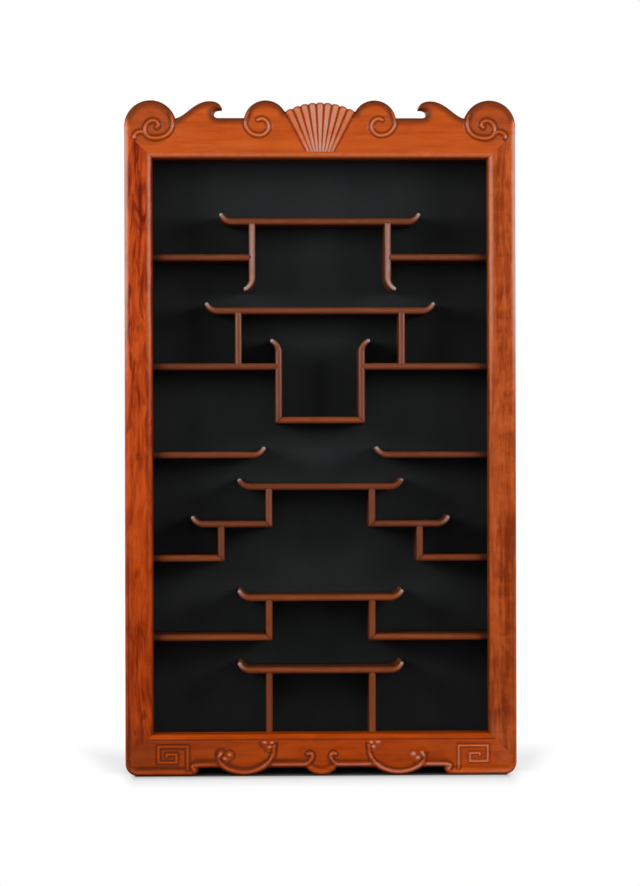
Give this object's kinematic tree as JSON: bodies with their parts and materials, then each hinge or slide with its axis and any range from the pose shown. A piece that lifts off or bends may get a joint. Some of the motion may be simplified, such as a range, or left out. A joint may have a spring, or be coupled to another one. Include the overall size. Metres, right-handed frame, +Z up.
{
  "type": "snuff bottle display cabinet",
  "caption": "Upright open-fronted display cabinet of carved hardwood: scrolled crest with a fan, beaded frame, shaped apron and stepped shelves with swept-up tips over a black back.",
  "frame": {"origin": "middle of the footprint, on the floor", "axes": "+Z up, the open front faces -Y, +X to the right as seen from the front"},
  "size_m": [0.464, 0.095, 0.8],
  "materials": {
    "frame_wood": "satin polish",
    "shelf_wood": "satin polish",
    "case_wood": "oiled",
    "black_cloth": "matte",
    "brass": "satin"
  },
  "bodies": {
    "root": {"apron_rail": "frame_wood", "back_board": "case_wood", "back_lining": "black_cloth", "back_screw_bottom": "brass", "back_screw_left_1": "brass", "back_screw_left_2": "brass", "back_screw_left_3": "brass", "back_screw_left_4": "brass", "back_screw_right_1": "brass", "back_screw_right_2": "brass", "back_screw_right_3": "brass", "back_screw_right_4": "brass", "back_screw_top": "brass", "base_roof_shelf": "shelf_wood", "base_upright_left": "shelf_wood", "base_upright_right": "shelf_wood", "base_wing_left": "shelf_wood", "base_wing_right": "shelf_wood", "bridge_post_left": "shelf_wood", "bridge_post_right": "shelf_wood", "bridge_shelf": "shelf_wood", "case_bottom": "case_wood", "case_side_left": "case_wood", "case_side_right": "case_wood", "case_top": "case_wood", "crest_rail": "frame_wood", "ledge_left": "shelf_wood", "ledge_right": "shelf_wood", "lower_roof_shelf": "shelf_wood", "lower_upright_left": "shelf_wood", "lower_upright_right": "shelf_wood", "lower_wing_left": "shelf_wood", "lower_wing_right": "shelf_wood", "middle_roof_shelf": "shelf_wood", "middle_upright_left": "shelf_wood", "middle_upright_right": "shelf_wood", "roof_leg_left": "shelf_wood", "roof_leg_right": "shelf_wood", "roof_shelf": "shelf_wood", "step_shelf_left": "shelf_wood", "step_shelf_right": "shelf_wood", "step_upright_left": "shelf_wood", "step_upright_right": "shelf_wood", "stile_left": "frame_wood", "stile_right": "frame_wood", "tray_bottom": "shelf_wood", "tray_side_left": "shelf_wood", "tray_side_right": "shelf_wood", "tray_wing_left": "shelf_wood", "tray_wing_right": "shelf_wood", "upper_wing_left": "shelf_wood", "upper_wing_right": "shelf_wood"}
  },
  "joints": []
}
